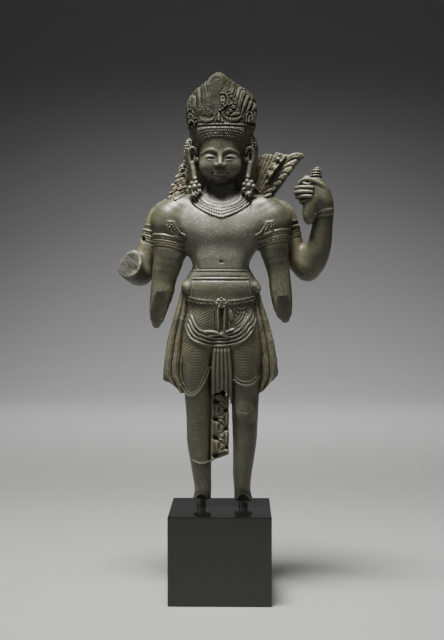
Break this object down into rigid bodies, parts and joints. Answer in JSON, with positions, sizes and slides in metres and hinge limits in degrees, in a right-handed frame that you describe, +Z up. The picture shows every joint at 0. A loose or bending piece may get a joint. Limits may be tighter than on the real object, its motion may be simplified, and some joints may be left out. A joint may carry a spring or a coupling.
{
  "type": "vishnu figure",
  "caption": "Standing four-armed Vishnu carved in dark stone, crowned and in a pleated dhoti, conch in a rear hand, on steel rods over a polished black block.",
  "frame": {"origin": "middle of the block's underside", "axes": "+Z up, the figure faces -Y and the conch hand is on the +X side"},
  "size_m": [0.2382, 0.11, 0.5705],
  "materials": {
    "chlorite_stone": "dark olive-grey carved stone, half polished on the shoulders and arms, with earthy deposits in the hollows",
    "black_stone": "black stone polished to a mirror, with crisp eased edges",
    "mount_steel": "darkened steel rod, lightly brushed"
  },
  "bodies": {
    "root": {"vishnu_figure": "chlorite_stone", "plinth_block": "black_stone", "left_ankle_pin": "mount_steel", "right_ankle_pin": "mount_steel"}
  },
  "joints": []
}
